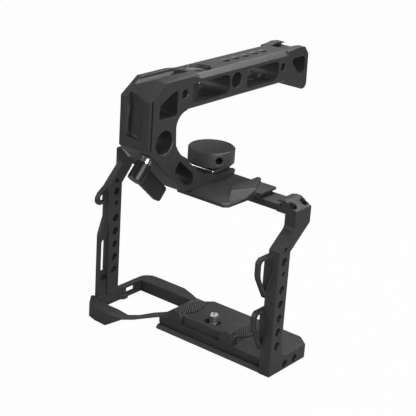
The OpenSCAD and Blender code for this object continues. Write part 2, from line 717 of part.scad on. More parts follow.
lever_face = 12.5;
stud_r = 2.5;
module handle_neck() color(black) difference() {
    union() {
        at_handle() side_plate(-half_w, handle_w, concat([
            [slope_end, 0], [neck_foot, 0], [neck_foot, foot_t]],
            [for (p = inner_share) [-p[0] * neck_reach, p[1] * grip_z]],
            [[neck_front + neck_d, grip_z - neck_fillet], [neck_front + neck_d, grip_top],
             [neck_front + front_chamfer_y, grip_top], [neck_front, grip_top - front_chamfer_z],
             [neck_front, slope_top]]));
        at_lever() cylinder(r = boss_r, h = boss_h);
    }
    at_handle() {
        translate([-half_w, rod_y, rod_z]) rotate([0, 90, 0]) drill(handle_w, rod_r, rod_rim);
        side_plate(-half_w - over, handle_w + 2 * over, scaled(window_share, [neck_reach, grip_z],
            [0, 0]));
        side_plate(-half_w - over, handle_w + 2 * over, scaled(drop_share, [neck_reach, grip_z], [0, 0]));
        // Front pocket with a floor that runs out to the right
        intersection() {
            plan_plate(pocket_low, grip_top - pocket_low, [
                [-half_w + pocket_l, neck_front - over], [half_w - pocket_r, neck_front - over],
                [half_w - pocket_r, neck_front + edge], [-half_w + pocket_l, neck_front + pocket_d]]);
            front_plate(neck_front - over, pocket_d + 2 * over, [
                [-half_w + pocket_l, pocket_low, pocket_round],
                    [half_w - pocket_r, pocket_low, pocket_round],
                [half_w - pocket_r, grip_top], [-half_w + pocket_l, grip_top]]);
        }
        top_channel();
        // Groove down the right front corner
        translate([half_w - groove_deep, neck_front + groove_y, slope_top])
            cube([groove_deep + over, groove_y, grip_top - front_chamfer_z - slope_top]);
    }
    at_clamp() foot_slot();
    at_clamp() foot_recess();
    at_lever() translate([0, 0, -lever_face]) cylinder(r = stud_r + thread_fit,
        h = lever_face + boss_h + over);
}

// Handle grip
bevel = 3;
tail_l = 24.4;
tail_start = grip_reach - tail_l;
top_bevel_y = -33;
bevel_run = 7;                                // run-out of the top bevels at the front
front_hole_in = 7;
middle_hole_y = 4;
end_hole_in = 5;
end_hole_y = tail_start - end_hole_in;
slot_end = 10.4;
slot_e = [-41.5, -3.2];
slot_g = [15.2, tail_start - slot_end];
slot_wall = 3;
slot_low = grip_z + slot_wall;
slot_roof = 5;
slot_high = grip_top - slot_roof;
small_side_r = 2.8;
big_side_r = 5;
side_drop = 10.3;
side_z = grip_top - side_drop;
top_first = 6;
top_pitch = 10;
top_hole_l = 20.5;
recess_y = -22.3;
top_recess_r = 8.7;
top_recess_d = 2.4;
grip_front = neck_front + neck_d;
ramp_l = 14.3;                                 // run of the front slot's end ramps along the grip
ramp_d = 6;                                   // depth of a ramp where it breaks into the slot
module slot_cut(ends) {
    side_plate(-half_w - over, handle_w + 2 * over, [
        [ends[0], slot_low, 2 * edge], [ends[1], slot_low, 3 * edge + bevel],
        [ends[1], slot_high, 3 * edge + bevel / 2], [ends[0], slot_high, 2 * edge]]);
}
module handle_grip() color(black) at_handle() difference() {
    union() {
        side_plate(-half_w, handle_w, [
            [grip_front, grip_z - neck_fillet], [grip_front, grip_top], [tail_start, grip_top],
                [tail_start, grip_z],
            [grip_front + neck_fillet, grip_z]]);
    }
    // Inner round between neck and grip
    translate([-half_w - over, grip_front + neck_fillet, grip_z - neck_fillet]) rotate([0, 90, 0])
        cylinder(r = neck_fillet, h = handle_w + 2 * over);
    for (s = [-1, 1]) scale_side(s) front_plate(top_bevel_y, tail_start - top_bevel_y, [
        [half_w + over, grip_top - bevel - over], [half_w + over, grip_top + over],
            [half_w - bevel - over, grip_top + over]]);
    for (s = [-1, 1]) scale_side(s) translate([half_w, 0, grip_top]) rotate([0, -45, 0])
        plan_plate(-2 * bevel, 4 * bevel, [
            [-bevel / sqrt(2), top_bevel_y + hairline], [0, top_bevel_y - bevel_run],
            [over, top_bevel_y - bevel_run], [over, top_bevel_y + hairline]]);
    for (s = [-1, 1]) scale_side(s) front_plate(grip_front + neck_fillet, tail_start + neck_reach, [
        [half_w + over, grip_z + bevel / 2 + over], [half_w - bevel / 2 - over, grip_z - over],
            [half_w + over, grip_z - over]]);
    intersection() {
        slot_cut(slot_e);
        plan_plate(slot_low - over, slot_high - slot_low + 2 * over, [
            [half_w + over, slot_e[0] - over * ramp_l / ramp_d], [half_w - ramp_d, slot_e[0] + ramp_l],
            [-half_w + ramp_d, slot_e[0] + ramp_l], [-half_w - over, slot_e[0] - over * ramp_l / ramp_d],
            [-half_w - over, slot_e[1] + over], [half_w + over, slot_e[1] + over]]);
    }
    slot_cut(slot_g);
    drill_x(-half_w, grip_front + front_hole_in, side_z, handle_w, small_side_r, hole_rim);
    drill_x(-half_w, middle_hole_y, side_z, handle_w, big_side_r, hole_rim);
    drill_x(-half_w, end_hole_y, side_z, handle_w, small_side_r, hole_rim);
    for (i = [0:floor((tail_start - slot_end - top_first) / top_pitch)])
        translate([0, top_first + i * top_pitch, grip_z]) drill(grip_t, quarter_r, hole_rim);
    translate([0, recess_y, grip_z]) drill(grip_t - top_recess_d, three_eighths_r, hole_rim);
    translate([0, recess_y, grip_top - top_recess_d]) cylinder(r = top_recess_r, h = top_recess_d + over);
    top_channel();
}
module scale_side(s) mirror([s < 0 ? 1 : 0, 0, 0]) children();

// Handle tail with its shoe
tail_sink = 2.5;
tail_floor = grip_top - tail_sink;
tail_lip_rise = 1.1;
tail_lip_top = grip_top + tail_lip_rise;
tail_drop = 8.5;
tail_low = grip_z - tail_drop;
tail_step = 5;
tail_window_share = [[0.187, 0.605, 0.11], [0.256, 0.719, 0.04], [0.741, 0.719, 0.06],
    [0.827, 0.622, 0.06], [0.827, 0.2, 0.12], [0.6, 0.126, 0.08]];
module handle_tail() color(black) at_handle() difference() {
    side_plate(-half_w, handle_w, [
        [tail_start, grip_z], [grip_reach - 3 * tail_step, grip_z, tip_r],
            [grip_reach - tail_step - edge, tail_low, tip_r / 2],
        [grip_reach, tail_low, 2 * tip_r], [grip_reach - edge, grip_top - tail_step],
        [grip_reach - tail_step, tail_lip_top - edge], [grip_reach - 2.5 * tail_step, tail_lip_top],
        [tail_start + 2 * bevel, tail_lip_top - edge], [tail_start + bevel, grip_top],
            [tail_start, grip_top]]);
    side_plate(-half_w - over, handle_w + 2 * over, scaled(tail_window_share, [tail_l, grip_t],
        [tail_start, grip_z]));
    // Shoe channel and the mouth between its lips
    translate([-shoe_w / 2, tail_start + bevel, tail_floor]) cube([shoe_w, grip_reach,
        tail_lip_top - lip_t - tail_floor]);
    translate([-shoe_mouth / 2, tail_start + bevel, tail_floor]) cube([shoe_mouth, grip_reach,
        tail_lip_top]);
}

// Clamp of the handle: plate, screw and disc knob
knob_gap = 1.8;
knob_low = recess_floor + plate_h + knob_gap;
clamp_hub_r = 5;
tommy_r = 2.4;
tommy_turn = -32;
knob_edge = 0.8;
module clamp_plate() color(black) at_clamp() translate([0, 0, recess_floor]) difference() {
    translate([-plate_half, -plate_half, 0]) cube([2 * plate_half, 2 * plate_half, plate_h]);
    translate([0, 0, -over]) cylinder(r = screw_r + thread_fit, h = plate_h + 2 * over);
}
module clamp_screw() color(chrome) at_clamp() union() {
    translate([0, 0, -seat_t - bar_t + edge]) cylinder(r = screw_r, h = seat_t + bar_t - edge + knob_low);
    translate([0, 0, recess_floor + plate_h]) cylinder(r = clamp_hub_r, h = knob_gap);
}
module clamp_knob() color(black) at_clamp() translate([0, 0, knob_low]) difference() {
    union() {
        cylinder(r1 = knob_r - knob_edge, r2 = knob_r, h = knob_edge);
        translate([0, 0, knob_edge]) cylinder(r = knob_r, h = knob_t - 2 * knob_edge);
        translate([0, 0, knob_t - knob_edge]) cylinder(r1 = knob_r, r2 = knob_r - knob_edge,
            h = knob_edge);
    }
    rotate([0, 0, tommy_turn]) translate([0, 0, knob_t / 2]) rotate([0, 90, 0]) cylinder(r = tommy_r,
        h = knob_r + over);
}

// Lock lever of the rod bore: washer, stud and lever
lock_gap = 3;
lever_low = boss_h + lock_gap;
lock_washer_r = 4;
module lock_washer() color(chrome) at_lever() translate([0, 0, boss_h]) difference() {
    cylinder(r = lock_washer_r, h = lock_gap);
    translate([0, 0, -over]) cylinder(r = stud_r + thread_fit, h = lock_gap + 2 * over);
}
module lock_stud() color(chrome) at_lever()
    translate([0, 0, rod_r - lever_face]) cylinder(r = stud_r, h = lever_face - rod_r + lever_low);
module lock_lever() color(deep_black) at_lever() translate([0, 0, lever_low]) union() {
    cylinder(r = lever_hub_r, h = lever_h);
    translate([-lever_t / 2, 0, 0]) side_plate(0, lever_t, [
        [-lever_reach, edge, tip_r], [-lever_reach, lever_h - edge, tip_r], [0, lever_h - edge],
            [0, edge]]);
}

base_plate();
front_stop();
ring_side_wall();
ring_rear_bar();
ring_front_bar();
ring_bridge();
left_column();
left_grip_web();
left_arm();
left_top_block();
strap_lug();
right_column();
right_arm();
right_top_block();
upper_cable_loop();
lower_cable_loop();
top_bar();
handle_seat();
seat_rail();
shoe_lip();
web_screw();
left_pad();
right_pad();
camera_screw_washer();
camera_screw();
handle_foot();
handle_neck();
handle_grip();
handle_tail();
clamp_plate();
clamp_screw();
clamp_knob();
lock_washer();
lock_stud();
lock_lever();
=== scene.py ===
"""Looks of a camera cage with a sliding top handle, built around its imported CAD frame.

Lengths are in metres and the frame is the CAD's own: X to the right, Y to the back, Z up,
with the origin on the camera screw's axis at the top of the base plate.
"""

import json
import math

import bmesh
import bpy
from bpy.props import FloatProperty, FloatVectorProperty, IntProperty, PointerProperty
from bpy.types import Operator, Panel, PropertyGroup
from mathutils import Matrix, Vector
from mathutils.geometry import intersect_point_line


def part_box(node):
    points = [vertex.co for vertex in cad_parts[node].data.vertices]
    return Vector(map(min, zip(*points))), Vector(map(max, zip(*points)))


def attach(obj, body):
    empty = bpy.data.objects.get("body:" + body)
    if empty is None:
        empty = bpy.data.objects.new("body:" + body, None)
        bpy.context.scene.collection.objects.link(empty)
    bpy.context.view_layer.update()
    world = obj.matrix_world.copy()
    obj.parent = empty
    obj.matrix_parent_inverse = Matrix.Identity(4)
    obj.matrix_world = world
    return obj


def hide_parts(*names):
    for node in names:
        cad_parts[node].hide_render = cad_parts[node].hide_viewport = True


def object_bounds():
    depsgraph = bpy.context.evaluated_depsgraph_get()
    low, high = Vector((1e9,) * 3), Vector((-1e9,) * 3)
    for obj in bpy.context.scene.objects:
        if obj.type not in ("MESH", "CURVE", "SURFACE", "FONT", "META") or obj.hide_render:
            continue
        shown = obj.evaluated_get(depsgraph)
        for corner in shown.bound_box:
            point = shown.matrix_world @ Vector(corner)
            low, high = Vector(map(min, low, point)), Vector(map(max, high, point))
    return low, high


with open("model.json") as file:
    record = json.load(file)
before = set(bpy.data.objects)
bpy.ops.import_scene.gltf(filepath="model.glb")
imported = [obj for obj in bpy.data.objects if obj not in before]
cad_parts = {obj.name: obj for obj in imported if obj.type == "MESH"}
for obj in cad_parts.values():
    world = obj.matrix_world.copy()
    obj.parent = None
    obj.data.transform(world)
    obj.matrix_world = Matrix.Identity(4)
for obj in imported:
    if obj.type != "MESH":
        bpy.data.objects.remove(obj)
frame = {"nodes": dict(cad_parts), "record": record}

bl_info = {
    "name": "Camera cage looks",
    "version": (1, 0, 0),
    "blender": (4, 5, 0),
    "location": "View3D > Sidebar > Cage",
    "description": "Finishes, threads and soft edges of a camera cage, with its stage",
    "category": "Object",
}

CAD_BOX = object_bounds()
MM = 0.001
SLOT_OF = {part["node"]: part["material_slot"] for part in frame["record"]["subparts"]}
BODY_OF = {node: body for body, nodes in frame["record"]["behaviour"]["bodies"].items() for node in nodes}
MOUNTS = {m["name"]: m for m in frame["record"]["mounts"]}
CAGE_BODY = "cage"
HANDLE_BODY = "handle"


class CageFinish(PropertyGroup):
    """Colours and surface of every finish."""

    frame_colour: FloatVectorProperty(
        name="Frame colour", description="Matte black anodised aluminium of the cage",
        subtype="COLOR", size=3, min=0, max=1, default=(0.023, 0.023, 0.023))
    handle_colour: FloatVectorProperty(
        name="Handle colour", description="Satin black anodised aluminium of the handle",
        subtype="COLOR", size=3, min=0, max=1, default=(0.024, 0.024, 0.024))
    knob_colour: FloatVectorProperty(
        name="Knob colour", description="Satin black of the disc knob and its clamp plate",
        subtype="COLOR", size=3, min=0, max=1, default=(0.036, 0.036, 0.036))
    lever_colour: FloatVectorProperty(
        name="Lever colour", description="Smooth black paint of the lock lever",
        subtype="COLOR", size=3, min=0, max=1, default=(0.008, 0.008, 0.008))
    rubber_colour: FloatVectorProperty(
        name="Rubber colour", description="Ribbed rubber of the two seat pads",
        subtype="COLOR", size=3, min=0, max=1, default=(0.035, 0.035, 0.035))
    screw_colour: FloatVectorProperty(
        name="Small screw colour", description="Black oxide of the small frame screw",
        subtype="COLOR", size=3, min=0, max=1, default=(0.008, 0.008, 0.008))
    # Near-black of the threads in the accessory holes: painted shade that makes the holes read dark, not an
    # oily finish
    thread_colour: FloatVectorProperty(
        name="Thread colour", description="Oily black of the threads inside the accessory holes",
        subtype="COLOR", size=3, min=0, max=1, default=(0.002, 0.002, 0.002))
    steel_colour: FloatVectorProperty(
        name="Bright steel colour", description="Polished steel of the screws and washers",
        subtype="COLOR", size=3, min=0, max=1, default=(0.75, 0.75, 0.75))
    grain: FloatProperty(
        name="Blasting grain", description="Size of the bead-blasted grain under the anodising",
        subtype="DISTANCE", unit="LENGTH", min=0.00005, max=0.002, default=0.0003)
    edge_radius: FloatProperty(
        name="Broken edge", description="Radius of the deburred outer edges",
        subtype="DISTANCE", unit="LENGTH", min=0.00005, max=0.001, default=0.0003)
    plate_chamfer: FloatProperty(
        name="Clamp plate chamfer", description="Bright cut edge of the handle's clamp plate",
        subtype="DISTANCE", unit="LENGTH", min=0.0001, max=0.002, default=0.001)
    edge_segments: IntProperty(
        name="Edge segments", description="Facets across a broken edge", min=1, max=4, default=2)


class CageThreads(PropertyGroup):
    """Threads of the screws and the accessory holes."""

    quarter_pitch: FloatProperty(
        name="Quarter-inch pitch", description="Pitch of the quarter-inch threads",
        subtype="DISTANCE", unit="LENGTH", min=0.0008, max=0.002, default=0.00127)
    thread_depth: FloatProperty(
        name="Hole thread depth", description="How far a hole's thread stands into the hole",
        subtype="DISTANCE", unit="LENGTH", min=0.0001, max=0.001, default=0.0004)
    around: IntProperty(
        name="Facets around", description="Facets round a threaded hole", min=12, max=96, default=32)


class CageStage(PropertyGroup):
    """Floor, light and camera."""

    floor_colour: FloatVectorProperty(
        name="Floor colour", description="Plain pale floor",
        subtype="COLOR", size=3, min=0, max=1, default=(0.3, 0.3, 0.3))
    floor_size: FloatProperty(
        name="Floor size", description="Side of the square floor",
        subtype="DISTANCE", unit="LENGTH", min=1, max=40, default=16)
    key_power: FloatProperty(
        name="Key power", description="Power of the large lamp above the left shoulder",
        subtype="POWER", unit="POWER", min=0, max=200, default=9.5)
    fill_power: FloatProperty(
        name="Fill power", description="Power of the lamp on the right",
        subtype="POWER", unit="POWER", min=0, max=200, default=15)
    top_power: FloatProperty(
        name="Top power", description="Power of the overhead lamp",
        subtype="POWER", unit="POWER", min=0, max=200, default=4.4)
    world_level: FloatProperty(
        name="World light", description="Strength of the even light from all sides",
        min=0, max=2, default=0.075)
    lens: FloatProperty(
        name="Lens", description="Focal length on a 36 mm wide sensor, in millimetres",
        min=20, max=400, default=106.85)


def settings(context):
    """The three groups of values."""
    scene = context.scene
    return scene.cage_finish, scene.cage_threads, scene.cage_stage


# Materials

COATING_IOR = 1.45
STEEL_ROUGHNESS = 0.12
THREADED_STEEL_ROUGHNESS = 0.38

# Colour property, roughness, relief strength, share of the common grain size and contrast of the clouds
COATINGS = {
    "frame_black": ("frame_colour", 0.5, 0.35, 1, 0.22),
    "handle_black": ("handle_colour", 0.46, 0.3, 1, 0.22),
    "knob_black": ("knob_colour", 0.42, 0.3, 1, 0.22),
    "lever_black": ("lever_colour", 0.33, 0.12, 2, 0.15),
    "screw_black": ("screw_colour", 0.35, 0.3, 1, 0.22),
    # The hole threads: near-black painted shade inside the holes
    "thread_black": ("thread_colour", 0.7, 0.2, 1, 0.22),
}


def new_group(name, inputs, outputs):
    """An empty shader node group with its sockets and the two end nodes."""
    tree = bpy.data.node_groups.new(name, "ShaderNodeTree")
    for label, value in inputs:
        socket = tree.interface.new_socket(label, in_out="INPUT", socket_type="NodeSocketFloat")
        socket.default_value = value
    for label in outputs:
        tree.interface.new_socket(label, in_out="OUTPUT", socket_type="NodeSocketFloat")
    return tree, tree.nodes.new("NodeGroupInput"), tree.nodes.new("NodeGroupOutput")


def node(tree, kind, **values):
    """A node with its attributes set and its plain inputs filled, by socket name or number."""
    made = tree.nodes.new(kind)
    for key, value in values.items():
        if key == "inputs":
            for socket, setting in value.items():
                made.inputs[socket].default_value = setting
        else:
            setattr(made, key, value)
    return made


def feed(tree, value, socket):
    """Links a socket to another one, or gives it a plain value."""
    if hasattr(value, "is_linked"):
        tree.links.new(value, socket)
    else:
        socket.default_value = value


def math_node(tree, operation, a, b=0.0, clamp=False):
    """A Math node fed by sockets or numbers."""
    made = node(tree, "ShaderNodeMath", operation=operation, use_clamp=clamp)
    feed(tree, a, made.inputs[0])
    feed(tree, b, made.inputs[1])
    return made.outputs[0]


def mixed(tree, factor, a, b):
    """Colour that goes from one to the other with the factor."""
    made = node(tree, "ShaderNodeMix", data_type="RGBA")
    feed(tree, a, made.inputs["A"])
    feed(tree, b, made.inputs["B"])
    feed(tree, factor, made.inputs["Factor"])
    return made.outputs["Result"]


def shaded(colour, share):
    """A plain colour made darker or lighter, with its fourth value."""
    return tuple(min(1, c * share) for c in colour) + (1,)


def object_place(tree):
    """Place on the piece, in the object's own metres."""
    return node(tree, "ShaderNodeTexCoord").outputs["Object"]


def object_height(tree):
    """Height of a place on the piece."""
    place = node(tree, "ShaderNodeSeparateXYZ")
    tree.links.new(object_place(tree), place.inputs[0])
    return place.outputs["Z"]


SPECK_SPACING = 10.0
SPECK_RADIUS = 0.06


def grain_group():
    """Bead-blasted grain, built once: pits for the height, clouds for the tone and specks of dust.

    The specks' spacing is in grains and their radius in spacings.
    """
    name = "blasted_grain"
    if name in bpy.data.node_groups:
        return bpy.data.node_groups[name]
    tree, start, end = new_group(name, [("Grain size", 0.0003), ("Cloud size", 0.02)],
                                 ["Height", "Tone", "Specks"])
    place = object_place(tree)
    fine = node(tree, "ShaderNodeTexNoise", inputs={"Detail": 3.0, "Roughness": 0.6})
    cloud = node(tree, "ShaderNodeTexNoise", inputs={"Detail": 4.0, "Roughness": 0.55})
    speck = node(tree, "ShaderNodeTexVoronoi", feature="F1")
    grain, wide = start.outputs["Grain size"], start.outputs["Cloud size"]
    for made, size, factor in ((fine, grain, 1.0), (cloud, wide, 1.0), (speck, grain, SPECK_SPACING)):
        scale = math_node(tree, "DIVIDE", 1.0, math_node(tree, "MULTIPLY", size, factor))
        tree.links.new(place, made.inputs["Vector"])
        tree.links.new(scale, made.inputs["Scale"])
    dust = math_node(tree, "LESS_THAN", speck.outputs["Distance"], SPECK_RADIUS)
    tree.links.new(fine.outputs["Fac"], end.inputs["Height"])
    tree.links.new(cloud.outputs["Fac"], end.inputs["Tone"])
    tree.links.new(dust, end.inputs["Specks"])
    return tree


def new_material(name, grain, cloud):
    """A material with its tree, its shader and the outputs of its grain."""
    made = bpy.data.materials.new(name)
    made.use_nodes = True
    tree = made.node_tree
    blasted = node(tree, "ShaderNodeGroup", node_tree=grain_group(),
                   inputs={"Grain size": grain, "Cloud size": cloud})
    return made, tree, tree.nodes["Principled BSDF"], blasted.outputs


def surface(tree, shader, tone, rough_low, rough_high, height, strength, depth):
    """Roughness that follows the clouds, and relief from a height."""
    rough = node(tree, "ShaderNodeMapRange", inputs={"To Min": rough_low, "To Max": rough_high})
    tree.links.new(tone, rough.inputs["Value"])
    tree.links.new(rough.outputs["Result"], shader.inputs["Roughness"])
    relief = node(tree, "ShaderNodeBump", inputs={"Strength": strength, "Distance": depth})
    tree.links.new(height, relief.inputs["Height"])
    tree.links.new(relief.outputs["Normal"], shader.inputs["Normal"])


LATHE_PITCH = 0.6 * MM
LATHE_SHARE = 0.8
RINGS_PER_UNIT = 20


def lathe_rings(tree, centre):
    """Fine rings that a lathe leaves round an upright axis."""
    mapping = node(tree, "ShaderNodeMapping", vector_type="TEXTURE", inputs={"Location": centre})
    tree.links.new(object_place(tree), mapping.inputs["Vector"])
    rings = node(tree, "ShaderNodeTexWave", wave_type="RINGS", rings_direction="Z",
                 inputs={"Scale": 1 / LATHE_PITCH / RINGS_PER_UNIT, "Distortion": 0.0})
    tree.links.new(mapping.outputs["Vector"], rings.inputs["Vector"])
    return math_node(tree, "MULTIPLY", rings.outputs["Fac"], LATHE_SHARE)


ANODISED_CLOUD = 18 * MM
ANODISED_DEPTH = 0.04 * MM
SMOOTHER = 0.05
ROUGHER = 0.06
DUST_COLOUR = (0.11, 0.11, 0.11, 1)
DUST_SHARE = 0.3


def anodised(name, colour, roughness, grain, strength, tone, turned_about=None):
    """Black anodising over blasted or turned aluminium, with a little dust."""
    made, tree, shader, blasted = new_material(name, grain, ANODISED_CLOUD)
    shade = mixed(tree, blasted["Tone"], shaded(colour, 1 - tone), shaded(colour, 1 + tone))
    dust = math_node(tree, "MULTIPLY", blasted["Specks"], DUST_SHARE)
    tree.links.new(mixed(tree, dust, shade, DUST_COLOUR), shader.inputs["Base Color"])
    height = blasted["Height"]
    if turned_about is not None:
        height = math_node(tree, "ADD", height, lathe_rings(tree, turned_about))
    surface(tree, shader, blasted["Tone"], roughness - SMOOTHER, roughness + ROUGHER, height, strength,
            ANODISED_DEPTH)
    shader.inputs["Metallic"].default_value = 0.0
    shader.inputs["IOR"].default_value = COATING_IOR
    return made


SCREW_TIP = 5.4 * MM
ROOT_FALLOFF = 3.4
# Colour of the painted shade in the roots of the camera screw's thread
ROOT_SHADE_COLOUR = (0.03, 0.03, 0.03, 1)


def shade_in_thread_roots(tree, paint, pitch, foot):
    """Painted shade in the roots of the camera screw's thread, which starts at the foot's height."""
    height = object_height(tree)
    turns = math_node(tree, "DIVIDE", math_node(tree, "SUBTRACT", height, foot), pitch)
    away = math_node(tree, "ABSOLUTE", math_node(tree, "SUBTRACT", math_node(tree, "FRACT", turns), 0.5))
    inside = math_node(tree, "SUBTRACT", 1.0, math_node(tree, "MULTIPLY", away, ROOT_FALLOFF), clamp=True)
    below = math_node(tree, "LESS_THAN", height, SCREW_TIP)
    return mixed(tree, math_node(tree, "MULTIPLY", inside, below), paint, ROOT_SHADE_COLOUR)


STEEL_GRAIN = 0.25 * MM
STEEL_CLOUD = 4 * MM
STEEL_DARK = 0.8
STEEL_HAZE = 0.14
STEEL_RELIEF = 0.15
STEEL_DEPTH = 0.02 * MM


def steel(name, colour, roughness, thread=None):
    """Bright steel with a little handling haze; thread gives pitch and foot height of the painted shade in
    the thread roots.
    """
    made, tree, shader, blasted = new_material(name, STEEL_GRAIN, STEEL_CLOUD)
    paint = mixed(tree, blasted["Tone"], shaded(colour, STEEL_DARK), shaded(colour, 1))
    if thread:
        paint = shade_in_thread_roots(tree, paint, *thread)
    tree.links.new(paint, shader.inputs["Base Color"])
    surface(tree, shader, blasted["Tone"], roughness, roughness + STEEL_HAZE, blasted["Height"],
            STEEL_RELIEF, STEEL_DEPTH)
    shader.inputs["Metallic"].default_value = 1.0
    return made


RUBBER_GRAIN = 0.4 * MM
RUBBER_CLOUD = 6 * MM
RUBBER_DARK = 0.7
RUBBER_BLOOM = 1.9
RUBBER_ROUGHNESS = (0.7, 0.9)
RUBBER_RELIEF = 0.6
RUBBER_DEPTH = 0.06 * MM
# Painted shade in the pad grooves: it starts just under the rib tops and is full at the lower depth
GROOVE_SHADE_START = 0.1 * MM
GROOVE_SHADE_FULL = 0.4 * MM
GROOVE_SHADE_COLOUR = (0.001, 0.001, 0.001, 1)


def rubber(name, colour, top):
    """Matte rubber with a powdery bloom on its ribs, whose tops stand at one height, and painted shade in
    the grooves below the tops.
    """
    made, tree, shader, blasted = new_material(name, RUBBER_GRAIN, RUBBER_CLOUD)
    shade = mixed(tree, blasted["Tone"], shaded(colour, RUBBER_DARK), shaded(colour, RUBBER_BLOOM))
    groove_shade = node(tree, "ShaderNodeMapRange", inputs={"From Min": top - GROOVE_SHADE_START,
                                                    "From Max": top - GROOVE_SHADE_FULL})
    tree.links.new(object_height(tree), groove_shade.inputs["Value"])
    tree.links.new(mixed(tree, groove_shade.outputs["Result"], shade, GROOVE_SHADE_COLOUR), shader.inputs["Base Color"])
    surface(tree, shader, blasted["Tone"], *RUBBER_ROUGHNESS, blasted["Height"], RUBBER_RELIEF, RUBBER_DEPTH)
    shader.inputs["IOR"].default_value = COATING_IOR
    return made


def knob_centre():
    """Middle of the disc knob at rest."""
    low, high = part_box("clamp_knob")
    return (low + high) / 2


def finish_for(context, slot):
    """The finish of one of the record's slots, or of the threads, built once."""
    name = "finish_" + slot
    made = bpy.data.materials.get(name)
    if made:
        return made
    look, _, _ = settings(context)
    if slot in COATINGS:
        colour, roughness, strength, coarseness, tone = COATINGS[slot]
        turned_about = knob_centre() if slot == "knob_black" else None
        return anodised(name, getattr(look, colour), roughness, look.grain * coarseness, strength, tone,
                        turned_about)
    if slot == "rubber_black":
        return rubber(name, look.rubber_colour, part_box("left_pad")[1].z)
    if slot == "bright_steel":
        return steel(name, look.steel_colour, STEEL_ROUGHNESS)
    raise RuntimeError(f"no finish is written for slot {slot}")


def dress(piece, finish):
    """Gives a piece one finish in place of any other."""
    piece.data.materials.clear()
    piece.data.materials.append(finish)


# Meshes

WELD = 0.002 * MM
UNION_WELD = 0.005 * MM
FLAT_ANGLE = math.radians(0.6)
SHARP_ANGLE = math.radians(24)
SMOOTH_ANGLE = math.radians(33)
TINY = 1e-7


def object_from(bm, name, folder):
    """An object in a collection that takes over a bmesh."""
    mesh = bpy.data.meshes.new(name)
    bm.to_mesh(mesh)
    bm.free()
    made = bpy.data.objects.new(name, mesh)
    folder.objects.link(made)
    return made


def piece_from(bm, name, context, slot, body):
    """An object at the origin that rides on a body and wears a slot's finish."""
    bmesh.ops.recalc_face_normals(bm, faces=bm.faces)
    made = object_from(bm, name, context.scene.collection)
    dress(made, finish_for(context, slot))
    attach(made, body)
    return made


def welded(name):
    """A merged copy of a CAD node: its loose triangles share their corners again."""
    bm = bmesh.new()
    source = frame["nodes"][name]
    bm.from_mesh(source.data)
    bm.transform(source.matrix_world)
    bmesh.ops.remove_doubles(bm, verts=bm.verts, dist=WELD)
    return bm


def united(names, scene):
    """One closed mesh of nodes that are machined from one piece."""
    folder = bpy.data.collections.new("uniting")
    scene.collection.children.link(folder)
    host = object_from(welded(names[0]), "uniting_" + names[0], scene.collection)
    made = [host] + [object_from(welded(name), "uniting_" + name, folder) for name in names[1:]]
    join = host.modifiers.new("join", "BOOLEAN")
    join.operation = "UNION"
    join.solver = "EXACT"
    join.operand_type = "COLLECTION"
    join.collection = folder
    bpy.context.view_layer.update()
    whole = host.evaluated_get(bpy.context.evaluated_depsgraph_get()).to_mesh()
    bm = bmesh.new()
    bm.from_mesh(whole)
    for gone in made:
        mesh = gone.data
        bpy.data.objects.remove(gone)
        bpy.data.meshes.remove(mesh)
    bpy.data.collections.remove(folder)
    bmesh.ops.remove_doubles(bm, verts=bm.verts, dist=UNION_WELD)
    loose = [e for e in bm.edges if len(e.link_faces) < 2]
    if loose:
        raise RuntimeError(f"{names[0]} and its neighbours leave {len(loose)} open edges")
    return bm


def reach(face, edge):
    """How far a face extends from one of its edges."""
    start = edge.verts[0].co
    along = (edge.verts[1].co - start).normalized()
    return max((v.co - start - along * (v.co - start).dot(along)).length for v in face.verts)


def gap(edge, other):
    """Distance from the middle of one edge to another edge."""
    middle = (edge.verts[0].co + edge.verts[1].co) / 2
    start, end = (vert.co for vert in other.verts)
    _, share = intersect_point_line(middle, start, end)
    return (middle - start.lerp(end, min(1, max(0, share)))).length


# Both in radii of the rounding
LONG_EDGE = 20
EDGE_GAP = 2.2


def roomy(edges, radius):
    """The edges without those short ones that pass too close to a long edge to be rounded."""
    long_edges = [e for e in edges if e.calc_length() > LONG_EDGE * radius]
    kept = []
    for edge in edges:
        others = [e for e in long_edges if not set(edge.verts) & set(e.verts)]
        if edge in long_edges or all(gap(edge, e) > EDGE_GAP * radius for e in others):
            kept.append(edge)
    return kept


def soften(bm, radius, segments, least, wary):
    """Rounds every outward sharp edge between two faces that reach the least number of radii.

    A wary rounding also leaves out the short edges near a long one.
    """
    bmesh.ops.dissolve_limit(bm, angle_limit=FLAT_ANGLE, verts=bm.verts, edges=bm.edges)
    sharp = []
    for edge in bm.edges:
        if len(edge.link_faces) != 2 or edge.calc_face_angle_signed(0) < SHARP_ANGLE:
            continue
        if all(reach(face, edge) > least * radius for face in edge.link_faces):
            sharp.append(edge)
    if wary:
        sharp = roomy(sharp, radius)
    bmesh.ops.bevel(bm, geom=sharp, offset=radius, offset_type="OFFSET", segments=segments, profile=0.5,
                    affect="EDGES", clamp_overlap=False, loop_slide=False, material=-1)
    bmesh.ops.dissolve_degenerate(bm, dist=TINY, edges=bm.edges)
    bmesh.ops.triangulate(bm, faces=[f for f in bm.faces if len(f.verts) > 4])


def smooth(made):
    """Smooth shading broken at the sharp edges, with large faces kept flat."""
    made.data.shade_smooth()
    made.data.set_sharp_from_angle(angle=SMOOTH_ANGLE)
    even = made.modifiers.new("even", "WEIGHTED_NORMAL")
    even.mode = "FACE_AREA"
    even.weight = 100
    even.keep_sharp = True


FRAME_NODES = ("base_plate", "front_stop", "ring_side_wall", "ring_rear_bar", "ring_front_bar",
               "ring_bridge", "left_column", "left_grip_web", "left_arm", "left_top_block", "strap_lug",
               "right_column", "right_arm", "right_top_block", "upper_cable_loop", "lower_cable_loop",
               "top_bar", "handle_seat", "seat_rail", "shoe_lip")
HANDLE_NODES = ("handle_foot", "handle_neck", "handle_grip", "handle_tail")


